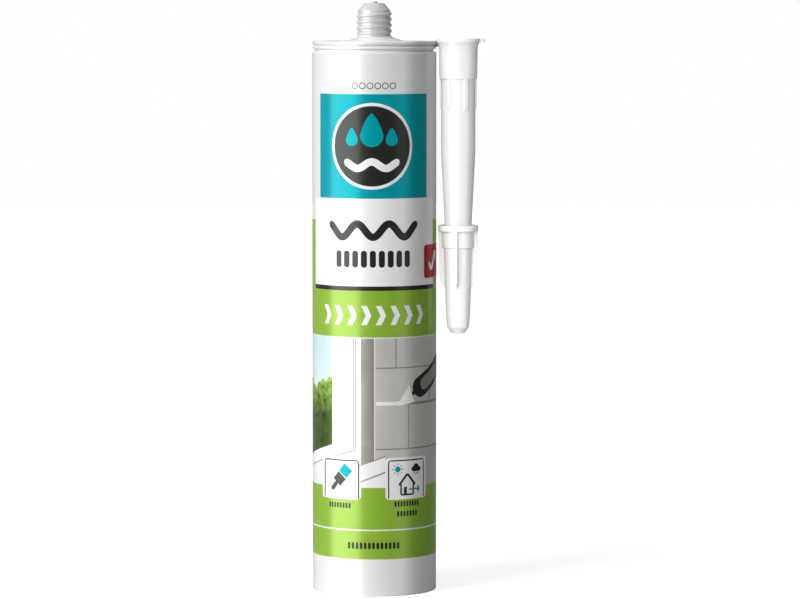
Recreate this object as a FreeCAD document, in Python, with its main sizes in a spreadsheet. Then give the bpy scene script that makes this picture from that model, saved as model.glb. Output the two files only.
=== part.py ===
import FreeCAD, Part

import os
from types import SimpleNamespace

import Sketcher

# A 310 ml sealant cartridge that stands on its open rear end, with its spare nozzle and the
# nozzle's cap held beside it by a dot of glue. Lengths are millimetres and angles degrees.
# The origin is the centre of the barrel's rear end, +Z is up, and -Y faces the viewer.
# An angle on the label is measured round the barrel from -Y towards +X.

SIZES = [
    ("body_radius", 24.6, "outside radius of the barrel"),
    ("body_wall", 1.4, "wall of the barrel"),
    ("rim_height", 218.2, "top of the rim above the rear end"),
    ("lead_in_wall", 1.1, "thinner wall at the rear, where the plunger is pushed in"),
    ("lead_in_depth", 10.0, "depth of that thinner wall"),
    ("lead_in_taper", 1.0, "length of the taper from it to the bore"),
    ("base_round", 0.4, "rounding of the rear end's outer edge"),
    ("bead_inset", 0.2, "step from the barrel's side in to the rim's two beads"),
    ("groove_depth", 1.0, "depth of the rim's grooves below the beads"),
    ("top_bead_height", 1.5, "height of the rim's top bead"),
    ("upper_groove_height", 0.6, "height of the upper groove"),
    ("thin_bead_height", 1.1, "height of the thin bead between the grooves"),
    ("lower_groove_height", 1.1, "height of the lower groove"),
    ("bead_round", 0.4, "rounding of the beads"),
    ("shoulder_round", 0.5, "rounding of the barrel's top edge"),
    ("rim_wall", 2.5, "thickness of the rim ring"),
    ("head_drop", 3.4, "depth of the head's outer edge below the rim's top"),
    ("head_rise", 4.9, "rise of the conical head from its edge to the nose"),
    ("head_wall", 1.7, "thickness of the head, measured upright"),
    ("nose_radius", 6.4, "radius of the nose between its threads"),
    ("nose_wall", 1.4, "wall of the nose"),
    ("nose_length", 10.5, "straight length of the nose above the head"),
    ("nose_tip_radius", 3.9, "radius of the flat end of the closed tip"),
    ("nose_tip_length", 2.9, "height of the tip's cone"),
    ("nose_tip_wall", 1.6, "thickness of the closed tip"),
    ("nose_round", 0.6, "rounding of the tip's two edges"),
    ("gate_radius", 1.2, "radius of the moulding stub on the tip"),
    ("gate_height", 0.7, "height of that stub"),
    ("thread_height", 0.55, "height of the thread above the nose"),
    ("thread_pitch", 2.3, "pitch of the thread"),
    ("thread_length", 8.9, "rise of the thread from its first to its last turn"),
    ("thread_start", 0.1, "height of the thread's start above the foot of the nose"),
    ("thread_crest", 0.4, "width of the thread's crest"),
    ("thread_root", 1.3, "width of the thread's root"),
    ("plunger_inset", 12.5, "depth of the plunger inside the rear end"),
    ("plunger_clearance", 0.1, "radial clearance of the plunger in the bore"),
    ("skirt_height", 20.0, "height of the plunger's skirt"),
    ("skirt_wall", 1.4, "wall of the skirt at its lips"),
    ("lip_height", 2.6, "height of each wiper lip"),
    ("lip_relief", 0.4, "depth of the waist between the lips"),
    ("crown_wall", 1.4, "thickness of the plunger's flat crown"),
    ("plunger_round", 0.5, "rounding of the crown's edge"),
    ("paste_gap", 0.1, "clearance of the paste from what holds it"),
    ("flange_ledge", 0.22, "step from the neck out to the flange's edge"),
    ("flange_thickness", 1.5, "thickness of the flange"),
    ("flange_above_rim", 1.0, "height of the flange's face above the rim"),
    ("flange_gap", 0.2, "gap between the flange and the rim"),
    ("tab_reach", 1.83, "reach of the tab beyond the flange's edge"),
    ("tab_width", 3.0, "width of the tab"),
    ("tab_thickness", 1.3, "thickness of the tab"),
    ("neck_flare", 0.8, "growth of the neck's radius from the collar up to the flange"),
    ("neck_length", 2.2, "length of the neck"),
    ("collar_draft", 0.17, "growth of the collar's radius from its end to the neck"),
    ("collar_wall", 0.88, "wall of the collar at its end"),
    ("collar_end", 16.0, "distance of the collar's end from the flange's face"),
    ("socket_clearance", 0.2, "radial clearance of the nozzle's socket round the nose"),
    ("socket_depth", 14.4, "depth of the socket"),
    ("collar_step", 0.66, "step from the collar's end in to the straight stem"),
    ("stem_wall", 1.1, "wall of the stem"),
    ("taper_start", 44.6, "distance of the cone's start from the flange's face"),
    ("nozzle_length", 113.5, "length of the nozzle"),
    ("spout_radius", 3.45, "outside radius of the nozzle at its tip"),
    ("spout_wall", 0.95, "wall of the nozzle at its tip"),
    ("grip_height", 0.44, "height of the grip ribs above the stem"),
    ("grip_length", 11.1, "length of the grip ribs at full height"),
    ("grip_run_out", 1.3, "length over which a rib runs out"),
    ("grip_width", 1.8, "width of a grip rib"),
    ("grip_count", 6, "number of grip ribs"),
    ("grip_turn", 4.0, "turn of the nozzle about its axis"),
    ("rib_root", 0.3, "depth to which ribs and fins start inside the wall"),
    ("cap_grip", 39.5, "length of the nozzle that the cap covers"),
    ("cap_turn", 6.0, "turn of the cap about its axis"),
    ("cap_floor", 2.7, "thickness of the cap's closed end"),
    ("cap_clearance", 0.1, "radial clearance of the cap on the nozzle"),
    ("cap_floor_gap", 0.8, "gap between the nozzle's tip and the cap's floor"),
    ("lip_ledge", 1.59, "step from the cap's collar out to its lip"),
    ("lip_flare", 0.14, "growth of the lip's radius from its lower edge to its top"),
    ("lip_length", 2.3, "height of the lip"),
    ("lip_wall", 0.88, "thickness of the lip at the mouth"),
    ("mouth_depth", 4.5, "depth of the funnel in the mouth"),
    ("cap_collar_step", 0.7, "step from the cap's collar in to its cone"),
    ("cap_collar_end", 9.0, "distance of the collar's end from the lip's top"),
    ("cap_wall", 0.61, "wall of the cap under its collar"),
    ("toe_wall", 1.08, "wall of the cap where its toe starts"),
    ("toe_length", 7.0, "length of the toe, where the cap turns in"),
    ("toe_draft", 0.45, "loss of the toe's radius down to its chamfer"),
    ("toe_chamfer", 2.4, "height of the end chamfer"),
    ("toe_bevel", 1.65, "loss of the radius over that chamfer"),
    ("fin_height", 1.62, "height of the fins above the cap's cone at their outer corner"),
    ("fin_end", 22.6, "distance of the fins' outer corner from the lip's top"),
    ("fin_run_out", 2.8, "length over which a fin runs out"),
    ("fin_width", 0.9, "width of a fin"),
    ("fin_count", 4, "number of fins"),
    ("glue_radius", 1.8, "radius of the glue dot"),
    ("glue_behind", 3.3, "distance of the dot behind the nozzle's axis"),
    ("glue_below", 0.5, "depth of the dot's centre below the rim's top"),
    ("ink_gap", 0.08, "clearance under each layer of ink"),
    ("ink_film", 0.08, "thickness of each layer of ink"),
    ("green_low", 14.9, "lower edge of the green print"),
    ("side_rise", 27.2, "rise of the green side fields above the front panel's lower edge"),
    ("line_low", 25.7, "lower edge of the bare line in the green"),
    ("line_width", 0.8, "height of that bare line"),
    ("picture_low", 43.2, "lower edge of the picture"),
    ("band_height", 18.8, "height of the green band between the picture and the front panel"),
    ("picture_turn", 96.0, "angle of the picture's two sides"),
    ("block_height", 36.3, "height of the bare front panel, up to the teal panel"),
    ("block_turn", 70.0, "angle of that panel's two sides"),
    ("rule_height", 1.5, "height of the dark rule under the front panel"),
    ("back_low", 52.0, "lower edge of the bare back panel"),
    ("back_margin", 9.9, "height of the green above that panel"),
    ("back_turn", 132.0, "angle of the back panel's two sides"),
    ("teal_margin", 20.5, "distance of the teal panel from the rim's top"),
    ("teal_height", 40.7, "height of the teal panel"),
    ("teal_turn", 58.5, "angle of the teal panel's two sides"),
    ("disc_radius", 15.6, "radius of the dark disc on the teal panel"),
    ("stripe_drop", 7.75, "distance of the white stripe's lower edge below the disc's centre"),
    ("stripe_height", 4.4, "height of that stripe"),
    ("stripe_turn", 27.0, "angle of its two ends"),
    ("badge_rise", 4.5, "height of the red badge above the front panel's lower edge"),
    ("badge_height", 13.4, "height of the badge itself"),
    ("badge_from", 53.0, "angle of the badge's near side"),
    ("badge_to", 95.0, "angle of its far side"),
    ("wave_rise", 19.3, "height of the upper dark bar above the front panel's lower edge"),
    ("wave_height", 9.0, "height of that bar"),
    ("wave_turn", 47.0, "angle of its two ends"),
    ("bead_rise", 9.9, "height of the lower dark bar above the front panel's lower edge"),
    ("bead_height", 4.4, "height of that bar"),
    ("bead_turn", 37.0, "angle of its two ends"),
    ("dash_rise", 5.3, "height of the white bars above the green band's lower edge"),
    ("dash_height", 7.6, "height of the white bars"),
    ("dash_turn", 50.0, "angle of the outermost bars' ends"),
    ("dash_count", 7, "number of the white bars"),
    ("dash_share", 0.7, "share of its place that a white bar covers"),
    ("sky_to", -42.0, "angle where the picture's sky and hills end"),
    ("hill_height", 34.8, "height of the picture's hills above its lower edge"),
    ("post_from", -12.0, "angle where the picture's grey post starts"),
    ("tile_from", 1.0, "angle where the picture's tiled wall starts"),
    ("icon_low", 38.6, "lower edge of the two icon boxes"),
    ("icon_high", 53.8, "upper edge of the icon boxes"),
    ("icon_inner", 13.6, "angle of an icon box's inner side"),
    ("icon_outer", 51.2, "angle of its outer side"),
]

PART_FOLDER = "parts"

doc = FreeCAD.newDocument("caulk_tube")
sheet = doc.addObject("Spreadsheet::Sheet", "Sizes")
for row, (alias, number, meaning) in enumerate(SIZES, start=1):
    sheet.set(f"A{row}", meaning)
    sheet.set(f"B{row}", str(number))
    sheet.setAlias(f"B{row}", alias)
doc.recompute()


class Size:
    """A number with the formula that gives it in the sheet, so that sums of sizes stay live."""

    def __init__(self, number, formula):
        self.number = number
        self.formula = formula

    def __add__(self, other):
        return joined(self, "+", other, self.number + as_size(other).number)

    def __sub__(self, other):
        return joined(self, "-", other, self.number - as_size(other).number)

    def __mul__(self, other):
        return joined(self, "*", other, self.number * as_size(other).number)

    def __truediv__(self, other):
        return joined(self, "/", other, self.number / as_size(other).number)

    def __rsub__(self, other):
        return as_size(other) - self

    def __neg__(self):
        return Size(-self.number, f"(0 - {self.formula})")


def as_size(value):
    """A size as it is, or a plain number as a size."""
    return value if isinstance(value, Size) else Size(value, f"({value})")


def joined(left, sign, right, number):
    """The size that two sizes give, with both formulas joined by the sign."""
    return Size(number, f"({left.formula} {sign} {as_size(right).formula})")


at = SimpleNamespace(**{alias: Size(number, f"Sizes.{alias}") for alias, number, _ in SIZES})


# Helpers for bodies that are turned or ribbed about their own axis

def new_body(label):
    """An empty body that carries the name of its piece."""
    body = doc.addObject("PartDesign::Body", label)
    body.Label = label
    return body


def upright_sketch(body, name, corners):
    """A closed outline in the body's XZ plane. Each corner is (distance from axis, height)."""
    plane = next(item for item in body.Origin.OriginFeatures if item.Role == "XZ_Plane")
    sketch = body.newObject("Sketcher::SketchObject", name)
    sketch.AttachmentSupport = (plane, [""])
    sketch.MapMode = "FlatFace"
    count = len(corners)
    points = [FreeCAD.Vector(as_size(out).number, as_size(up).number, 0) for out, up in corners]
    for side in range(count):
        sketch.addGeometry(Part.LineSegment(points[side], points[(side + 1) % count]))
    for side in range(count):
        sketch.addConstraint(Sketcher.Constraint("Coincident", side, 2, (side + 1) % count, 1))
    vertical_axis, horizontal_axis = -2, -1
    for side, (out, up) in enumerate(corners):
        pin_corner(sketch, side, "DistanceX", out, vertical_axis)
        pin_corner(sketch, side, "DistanceY", up, horizontal_axis)
    return sketch


def pin_corner(sketch, side, kind, value, axis):
    """Ties one coordinate of a side's first end to a size, or to the axis where it is 0."""
    if not isinstance(value, Size):
        sketch.addConstraint(Sketcher.Constraint("PointOnObject", side, 1, axis))
        return
    constraint = sketch.addConstraint(Sketcher.Constraint(kind, side, 1, value.number))
    name = f"{kind}{side}"
    sketch.renameConstraint(constraint, name)
    sketch.setExpression(f"Constraints.{name}", value.formula)


def turned(body, name, corners):
    """A solid of revolution about the body's Z axis."""
    sketch = upright_sketch(body, f"{name}_outline", corners)
    revolution = body.newObject("PartDesign::Revolution", name)
    revolution.Profile = sketch
    revolution.ReferenceAxis = (sketch, ["V_Axis"])
    revolution.Angle = 360
    doc.recompute()
    return revolution


def rounded(body, feature, name, radius, rings):
    """Rounds the circular edges that lie at the given (radius, height) places."""
    edges = []
    for number, edge in enumerate(feature.Shape.Edges, start=1):
        if not isinstance(edge.Curve, Part.Circle):
            continue
        for out, up in rings:
            near_radius = abs(edge.Curve.Radius - out.number) < 0.001
            near_height = abs(edge.Curve.Center.z - as_size(up).number) < 0.001
            if near_radius and near_height:
                edges.append(f"Edge{number}")
    if len(edges) != len(rings):
        raise RuntimeError(f"{name}: {len(edges)} edges found for {len(rings)} rings")
    fillet = body.newObject("PartDesign::Fillet", name)
    fillet.Base = (feature, edges)
    fillet.setExpression("Radius", radius.formula)
    doc.recompute()
    return fillet


def bladed(body, name, corners, width, count):
    """Flat blades round the axis: one outline in the XZ plane, padded both ways, repeated."""
    sketch = upright_sketch(body, f"{name}_outline", corners)
    pad = body.newObject("PartDesign::Pad", name)
    pad.Profile = sketch
    pad.SideType = "Symmetric"
    pad.setExpression("Length", width.formula)
    if count is None:
        doc.recompute()
        return pad
    pattern = body.newObject("PartDesign::PolarPattern", f"{name}_ring")
    pattern.Originals = [pad]
    pattern.Axis = (sketch, ["V_Axis"])
    pattern.Angle = 360
    pattern.setExpression("Occurrences", count.formula)
    body.Tip = pattern
    doc.recompute()
    return pattern


def placed(item, out=None, back=None, up=None, turn=None):
    """Puts a piece at its place in the row, with each coordinate tied to its size."""
    item.Placement.Rotation = FreeCAD.Rotation(FreeCAD.Vector(0, 0, 1), turn.number if turn else 0)
    item.Placement.Base = FreeCAD.Vector(*(as_size(value or 0).number for value in (out, back, up)))
    for axis, value in (("x", out), ("y", back), ("z", up)):
        if value is not None:
            item.setExpression(f"Placement.Base.{axis}", value.formula)
    if turn is not None:
        item.setExpression("Placement.Rotation.Angle", turn.formula)
    return item


# Places that several pieces share

bore_radius = at.body_radius - at.body_wall
bead_radius = at.body_radius - at.bead_inset
groove_radius = bead_radius - at.groove_depth
rim_inner = bead_radius - at.rim_wall
head_edge = at.rim_height - at.head_drop
nose_foot = head_edge + at.head_rise
nose_bore = at.nose_radius - at.nose_wall
head_slope = at.head_rise / (rim_inner - at.nose_radius)
socket_radius = at.nose_radius + at.socket_clearance
collar_end_radius = socket_radius + at.collar_wall
collar_radius = collar_end_radius + at.collar_draft
neck_radius = collar_radius + at.neck_flare
flange_radius = neck_radius + at.flange_ledge
stem_radius = collar_end_radius - at.collar_step
nozzle_axis = bead_radius + at.flange_gap + flange_radius
nozzle_face = at.rim_height + at.flange_above_rim
nozzle_taper = (stem_radius - at.spout_radius) / (at.nozzle_length - at.taper_start)
cap_seat = at.nozzle_length - at.cap_grip
teal_high = at.rim_height - at.teal_margin
teal_low = teal_high - at.teal_height
block_low = teal_low - at.block_height
green_high = block_low + at.side_rise
picture_high = block_low - at.band_height
disc_middle = (teal_low + teal_high) / 2


def ceiling(radius):
    """Height of the underside of the conical head at a radius."""
    return head_edge - at.head_wall + head_slope * (rim_inner - radius)


nose_shoulder = nose_foot + at.nose_length
nose_end = nose_shoulder + at.nose_tip_length
cavity_end = nose_end - at.nose_tip_wall
cavity_shoulder = nose_shoulder - at.nose_tip_wall / 4
cavity_tip_radius = at.nose_tip_radius - at.nose_wall


# Barrel: tube, rim, head and closed threaded nose, moulded in one piece

def make_barrel():
    top_bead_low = at.rim_height - at.top_bead_height
    thin_bead_high = top_bead_low - at.upper_groove_height
    thin_bead_low = thin_bead_high - at.thin_bead_height
    shoulder = thin_bead_low - at.lower_groove_height
    lead_in_radius = at.body_radius - at.lead_in_wall
    barrel = new_body("barrel")
    shell = turned(barrel, "shell", [
        (at.body_radius, 0),
        (at.body_radius, shoulder),
        (groove_radius, shoulder),
        (groove_radius, thin_bead_low),
        (bead_radius, thin_bead_low),
        (bead_radius, thin_bead_high),
        (groove_radius, thin_bead_high),
        (groove_radius, top_bead_low),
        (bead_radius, top_bead_low),
        (bead_radius, at.rim_height),
        (rim_inner, at.rim_height),
        (rim_inner, head_edge),
        (at.nose_radius, nose_foot),
        (at.nose_radius, nose_shoulder),
        (at.nose_tip_radius, nose_end),
        (at.gate_radius, nose_end),
        (at.gate_radius, nose_end + at.gate_height),
        (0, nose_end + at.gate_height),
        (0, cavity_end),
        (cavity_tip_radius, cavity_end),
        (nose_bore, cavity_shoulder),
        (nose_bore, ceiling(nose_bore)),
        (bore_radius, ceiling(bore_radius)),
        (bore_radius, at.lead_in_depth + at.lead_in_taper),
        (lead_in_radius, at.lead_in_depth),
        (lead_in_radius, 0),
    ])
    beads = rounded(barrel, shell, "bead_rounding", at.bead_round, [
        (bead_radius, thin_bead_low),
        (bead_radius, thin_bead_high),
        (bead_radius, top_bead_low),
        (bead_radius, at.rim_height),
        (rim_inner, at.rim_height),
    ])
    shoulders = rounded(barrel, beads, "shoulder_rounding", at.shoulder_round, [
        (at.body_radius, shoulder),
    ])
    rear = rounded(barrel, shoulders, "base_rounding", at.base_round, [(at.body_radius, 0)])
    rounded(barrel, rear, "tip_rounding", at.nose_round, [
        (at.nose_radius, nose_shoulder),
        (at.nose_tip_radius, nose_end),
    ])
    make_thread(barrel)
    return barrel


def make_thread(barrel):
    """The right-handed ridge that winds up the nose, rooted a little inside its wall."""
    first = nose_foot + at.thread_start
    root = at.nose_radius - at.rib_root
    crest = at.nose_radius + at.thread_height
    crest_low = first + (at.thread_root - at.thread_crest) / 2
    sketch = upright_sketch(barrel, "thread_outline", [
        (root, first),
        (crest, crest_low),
        (crest, crest_low + at.thread_crest),
        (root, first + at.thread_root),
    ])
    thread = barrel.newObject("PartDesign::AdditiveHelix", "thread")
    thread.Profile = sketch
    thread.ReferenceAxis = (sketch, ["V_Axis"])
    thread.Mode = "pitch-height-angle"
    thread.setExpression("Pitch", at.thread_pitch.formula)
    thread.setExpression("Height", at.thread_length.formula)


# Plunger: the cup-shaped piston, closed towards the paste and open to the rear

def make_plunger():
    lip_radius = bore_radius - at.plunger_clearance
    waist_radius = lip_radius - at.lip_relief
    inner_radius = lip_radius - at.skirt_wall
    waist_top = at.skirt_height - at.lip_height
    plunger = new_body("plunger")
    cup = turned(plunger, "cup", [
        (lip_radius, 0),
        (lip_radius, at.lip_height),
        (waist_radius, at.lip_height),
        (waist_radius, waist_top),
        (lip_radius, waist_top),
        (lip_radius, at.skirt_height),
        (0, at.skirt_height),
        (0, at.skirt_height - at.crown_wall),
        (inner_radius, at.skirt_height - at.crown_wall),
        (inner_radius, 0),
    ])
    rounded(plunger, cup, "crown_rounding", at.plunger_round, [(lip_radius, at.skirt_height)])
    return placed(plunger, up=at.plunger_inset)


# Sealant: the paste that fills the barrel from the plunger's crown into the nose

def make_sealant():
    paste_radius = bore_radius - at.paste_gap
    paste_nose = nose_bore - at.paste_gap
    bottom = at.plunger_inset + at.skirt_height + at.paste_gap
    sealant = new_body("sealant")
    turned(sealant, "filling", [
        (paste_radius, bottom),
        (paste_radius, ceiling(paste_radius) - at.paste_gap),
        (paste_nose, ceiling(paste_nose) - at.paste_gap),
        (paste_nose, cavity_shoulder - at.paste_gap),
        (cavity_tip_radius - at.paste_gap, cavity_end - at.paste_gap),
        (0, cavity_end - at.paste_gap),
        (0, bottom),
    ])
    return sealant


# Nozzle: its own frame has the flange's face at 0 and the spout pointing down

def make_nozzle():
    stem_bore = stem_radius - at.stem_wall
    nozzle = new_body("nozzle")
    turned(nozzle, "spout", [
        (socket_radius, 0),
        (flange_radius, 0),
        (flange_radius, -at.flange_thickness),
        (neck_radius, -at.flange_thickness),
        (collar_radius, -at.flange_thickness - at.neck_length),
        (collar_end_radius, -at.collar_end),
        (stem_radius, -at.collar_end),
        (stem_radius, -at.taper_start),
        (at.spout_radius, -at.nozzle_length),
        (at.spout_radius - at.spout_wall, -at.nozzle_length),
        (stem_bore, -at.taper_start),
        (stem_bore, -at.socket_depth),
        (socket_radius, -at.socket_depth),
    ])
    tab_root = flange_radius - at.rib_root
    tab_end = flange_radius + at.tab_reach
    bladed(nozzle, "tab", [
        (tab_root, 0),
        (tab_end, 0),
        (tab_end, -at.tab_thickness),
        (tab_root, -at.tab_thickness),
    ], at.tab_width, None)
    grip_end = at.collar_end + at.grip_length
    grip_root = stem_radius - at.rib_root
    grip_radius = stem_radius + at.grip_height
    bladed(nozzle, "grip", [
        (grip_root, -at.collar_end),
        (grip_radius, -at.collar_end),
        (grip_radius, -grip_end),
        (stem_radius, -grip_end - at.grip_run_out),
        (grip_root, -grip_end - at.grip_run_out),
    ], at.grip_width, at.grip_count)
    return placed(nozzle, out=nozzle_axis, up=nozzle_face, turn=-at.grip_turn)


# Cap: its own frame has the lip's top at 0, and its inside follows the nozzle's cone

def cap_inside(depth):
    """Radius of the cap's inside at a depth below its lip's top."""
    beyond = cap_seat + depth - at.taper_start
    return stem_radius - nozzle_taper * beyond + at.cap_clearance


def make_cap():
    floor_depth = at.cap_grip + at.cap_floor_gap
    cap_length = floor_depth + at.cap_floor
    toe_depth = cap_length - at.toe_length
    cone_radius = cap_inside(at.cap_collar_end) + at.cap_wall
    cap_collar_radius = cone_radius + at.cap_collar_step
    lip_base_radius = cap_collar_radius + at.lip_ledge
    lip_top_radius = lip_base_radius + at.lip_flare
    toe_radius = cap_inside(toe_depth) + at.toe_wall
    chamfer_radius = toe_radius - at.toe_draft
    cone_slope = (cone_radius - toe_radius) / (toe_depth - at.cap_collar_end)
    fin_foot = at.fin_end + at.fin_run_out
    foot_radius = cone_radius - cone_slope * (fin_foot - at.cap_collar_end)
    cap = new_body("cap")
    turned(cap, "sleeve", [
        (lip_top_radius - at.lip_wall, 0),
        (lip_top_radius, 0),
        (lip_base_radius, -at.lip_length),
        (cap_collar_radius, -at.lip_length),
        (cap_collar_radius, -at.cap_collar_end),
        (cone_radius, -at.cap_collar_end),
        (toe_radius, -toe_depth),
        (chamfer_radius, at.toe_chamfer - cap_length),
        (chamfer_radius - at.toe_bevel, -cap_length),
        (0, -cap_length),
        (0, -floor_depth),
        (cap_inside(floor_depth), -floor_depth),
        (cap_inside(at.mouth_depth), -at.mouth_depth),
    ])
    bladed(cap, "fin", [
        (cap_collar_radius - at.rib_root, -at.lip_length),
        (lip_base_radius, -at.lip_length),
        (cone_radius + at.fin_height, -at.fin_end),
        (foot_radius, -fin_foot),
        (foot_radius - at.rib_root, -fin_foot),
        (cone_radius - at.rib_root, -at.cap_collar_end),
        (cap_collar_radius - at.rib_root, -at.cap_collar_end),
    ], at.fin_width, at.fin_count)
    return placed(cap, out=nozzle_axis, up=nozzle_face - cap_seat, turn=-at.cap_turn)


# Glue: a dot that fills the wedge between the rim and the flange, shaped by both

def make_glue_dot(barrel, nozzle):
    dot = doc.addObject("Part::Sphere", "dot")
    dot.setExpression("Radius", at.glue_radius.formula)
    placed(dot, out=bead_radius, back=at.glue_behind, up=at.rim_height - at.glue_below)
    off_barrel = cut_away("dot_off_barrel", dot, barrel)
    return cut_away("glue_dot", off_barrel, nozzle)


# Print: each field is a thin piece of tube that lies on the barrel or on the ink under it

def cut_away(name, base, tool):
    """The base without the tool."""
    cut = doc.addObject("Part::Cut", name)
    cut.Base = base
    cut.Tool = tool
    cut.Label = name
    return cut


def together(name, items):
    """One piece made of several solids."""
    union = doc.addObject("Part::MultiFuse", name)
    union.Shapes = items
    union.Label = name
    return union


def field(name, layer, low, high, start, end):
    """Ink between two heights and two angles, on the barrel (layer 0) or on ink (layers 1, 2)."""
    under = at.body_radius + at.ink_gap + (at.ink_film + at.ink_gap) * layer
    solids = []
    for part, radius in (("outside", under + at.ink_film), ("inside", under)):
        sector = doc.addObject("Part::Cylinder", f"{name}_{part}")
        sector.setExpression("Radius", radius.formula)
        sector.setExpression("Height", (high - low).formula)
        sector.setExpression("Angle", (end - start).formula)
        placed(sector, up=low, turn=start - 90)
        solids.append(sector)
    return cut_away(name, *solids)


def whole_ring(name, low, high):
    """Ink all round the barrel between two heights."""
    return field(name, 0, low, high, as_size(0), as_size(360))


def window(name, low, high, start, end):
    """A thick piece of tube that cuts an opening through a field of ink."""
    outer = doc.addObject("Part::Cylinder", name)
    outer.setExpression("Radius", (at.body_radius + at.body_wall).formula)
    outer.setExpression("Height", (high - low).formula)
    outer.setExpression("Angle", (end - start).formula)
    return placed(outer, up=low, turn=start - 90)


def make_green():
    """Side fields, band and foot, with the front panel, picture and back panel left bare."""
    line_high = at.line_low + at.line_width
    foot = whole_ring("green_foot", at.green_low, at.line_low)
    upper = whole_ring("green_upper", line_high, green_high)
    front_turn = at.block_turn
    openings = [
        window("front_window", block_low, green_high, -front_turn, front_turn),
        window("picture_window", at.picture_low, picture_high, -at.picture_turn, at.picture_turn),
        window("back_window", at.back_low, green_high - at.back_margin, at.back_turn, 360 - at.back_turn),
    ]
    upper = cut_away("green_upper_open", upper, together("green_windows", openings))
    return together("print_green", [foot, upper])


def make_teal():
    return field("print_teal", 0, teal_low, teal_high, -at.teal_turn, at.teal_turn)


def make_charcoal():
    """The disc on the teal panel, two bars on the front panel and the rule under them."""
    ring = field("disc_ring", 1, teal_low, teal_high, -at.teal_turn, at.teal_turn)
    punch = doc.addObject("Part::Cylinder", "disc_punch")
    punch.setExpression("Radius", at.disc_radius.formula)
    punch.setExpression("Height", (at.body_radius * 2).formula)
    punch.Placement.Rotation = FreeCAD.Rotation(FreeCAD.Vector(1, 0, 0), 90)
    punch.setExpression("Placement.Base.z", disc_middle.formula)
    disc = doc.addObject("Part::Common", "disc")
    disc.Base = ring
    disc.Tool = punch
    wave_low = block_low + at.wave_rise
    bead_low = block_low + at.bead_rise
    rule_high = block_low + at.rule_height
    wave = field("wave_bar", 0, wave_low, wave_low + at.wave_height, -at.wave_turn, at.wave_turn)
    bead = field("bead_bar", 0, bead_low, bead_low + at.bead_height, -at.bead_turn, at.bead_turn)
    rule = field("rule", 0, block_low, rule_high, -at.block_turn, at.block_turn)
    return together("print_charcoal", [disc, wave, bead, rule])


def make_red():
    badge_low = block_low + at.badge_rise
    return field("print_red", 1, badge_low, badge_low + at.badge_height, at.badge_from, at.badge_to)


def make_white():
    """The disc's stripe, the bars in the green band, and the grounds of the two icon boxes."""
    place = at.dash_turn * 2 / at.dash_count
    rest = (1 - at.dash_share.number) / 2
    dash_low = picture_high + at.dash_rise
    bars = []
    for number in range(int(at.dash_count.number)):
        start = place * (number + rest) - at.dash_turn
        end = start + place * at.dash_share
        bars.append(field(f"dash_{number + 1}", 1, dash_low, dash_low + at.dash_height, start, end))
    left = field("icon_left", 1, at.icon_low, at.icon_high, -at.icon_outer, -at.icon_inner)
    right = field("icon_right", 1, at.icon_low, at.icon_high, at.icon_inner, at.icon_outer)
    stripe_low = disc_middle - at.stripe_drop
    stripe_high = stripe_low + at.stripe_height
    stripe = field("stripe", 2, stripe_low, stripe_high, -at.stripe_turn, at.stripe_turn)
    return together("print_white", bars + [left, right, stripe])


def make_picture():
    """The picture's fields: sky over hills, then beyond a bare band a grey post and a tiled wall."""
    low, high = at.picture_low, picture_high
    hill_high = low + at.hill_height
    return [
        field("print_sky", 0, hill_high, high, -at.picture_turn, at.sky_to),
        field("print_leaf", 0, low, hill_high, -at.picture_turn, at.sky_to),
        field("print_warm_grey", 0, low, high, at.post_from, at.tile_from),
        field("print_pale_grey", 0, low, high, at.tile_from, at.picture_turn),
    ]


def build_pieces():
    barrel = make_barrel()
    plunger = make_plunger()
    sealant = make_sealant()
    nozzle = make_nozzle()
    cap = make_cap()
    doc.recompute()
    glue_dot = make_glue_dot(barrel, nozzle)
    inks = [make_green(), make_teal(), make_charcoal(), make_red(), make_white()]
    inks += make_picture()
    doc.recompute()
    return [barrel, plunger, sealant, nozzle, cap, glue_dot] + inks


def check_document():
    """Stops if any object of the document failed to build."""
    for item in doc.Objects:
        if "Invalid" in item.State or "Error" in item.State:
            raise RuntimeError(f"{item.Name} failed: {item.State}")


def write_pieces(pieces):
    """Checks each piece's shape and writes it to its own STEP file."""
    os.makedirs(PART_FOLDER, exist_ok=True)
    for piece in pieces:
        shape = piece.Shape
        if shape.isNull() or not shape.isValid() or not shape.Solids:
            raise RuntimeError(f"{piece.Label} has no valid solid")
        shape.exportStep(os.path.join(PART_FOLDER, f"{piece.Label}.step"))
        print(f"{piece.Label}: {len(shape.Solids)} solids, {shape.Volume:.1f} mm3")


pieces = build_pieces()
check_document()
write_pieces(pieces)
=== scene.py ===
# %% [markdown]
# A sealant cartridge with its spare nozzle
#
# This lesson dresses a measured model of a caulk tube. The frame holds the moulded pieces at their true
# places and sizes in metres. Every visible surface is then worked out again as a fine grid, so that edges
# are rounded, threads wind and ribs stand up. The barrel's axis is Z, its rear end stands on z = 0, and the
# front of the label faces -Y.

# %% The tools, the frame and its box
import math

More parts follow.
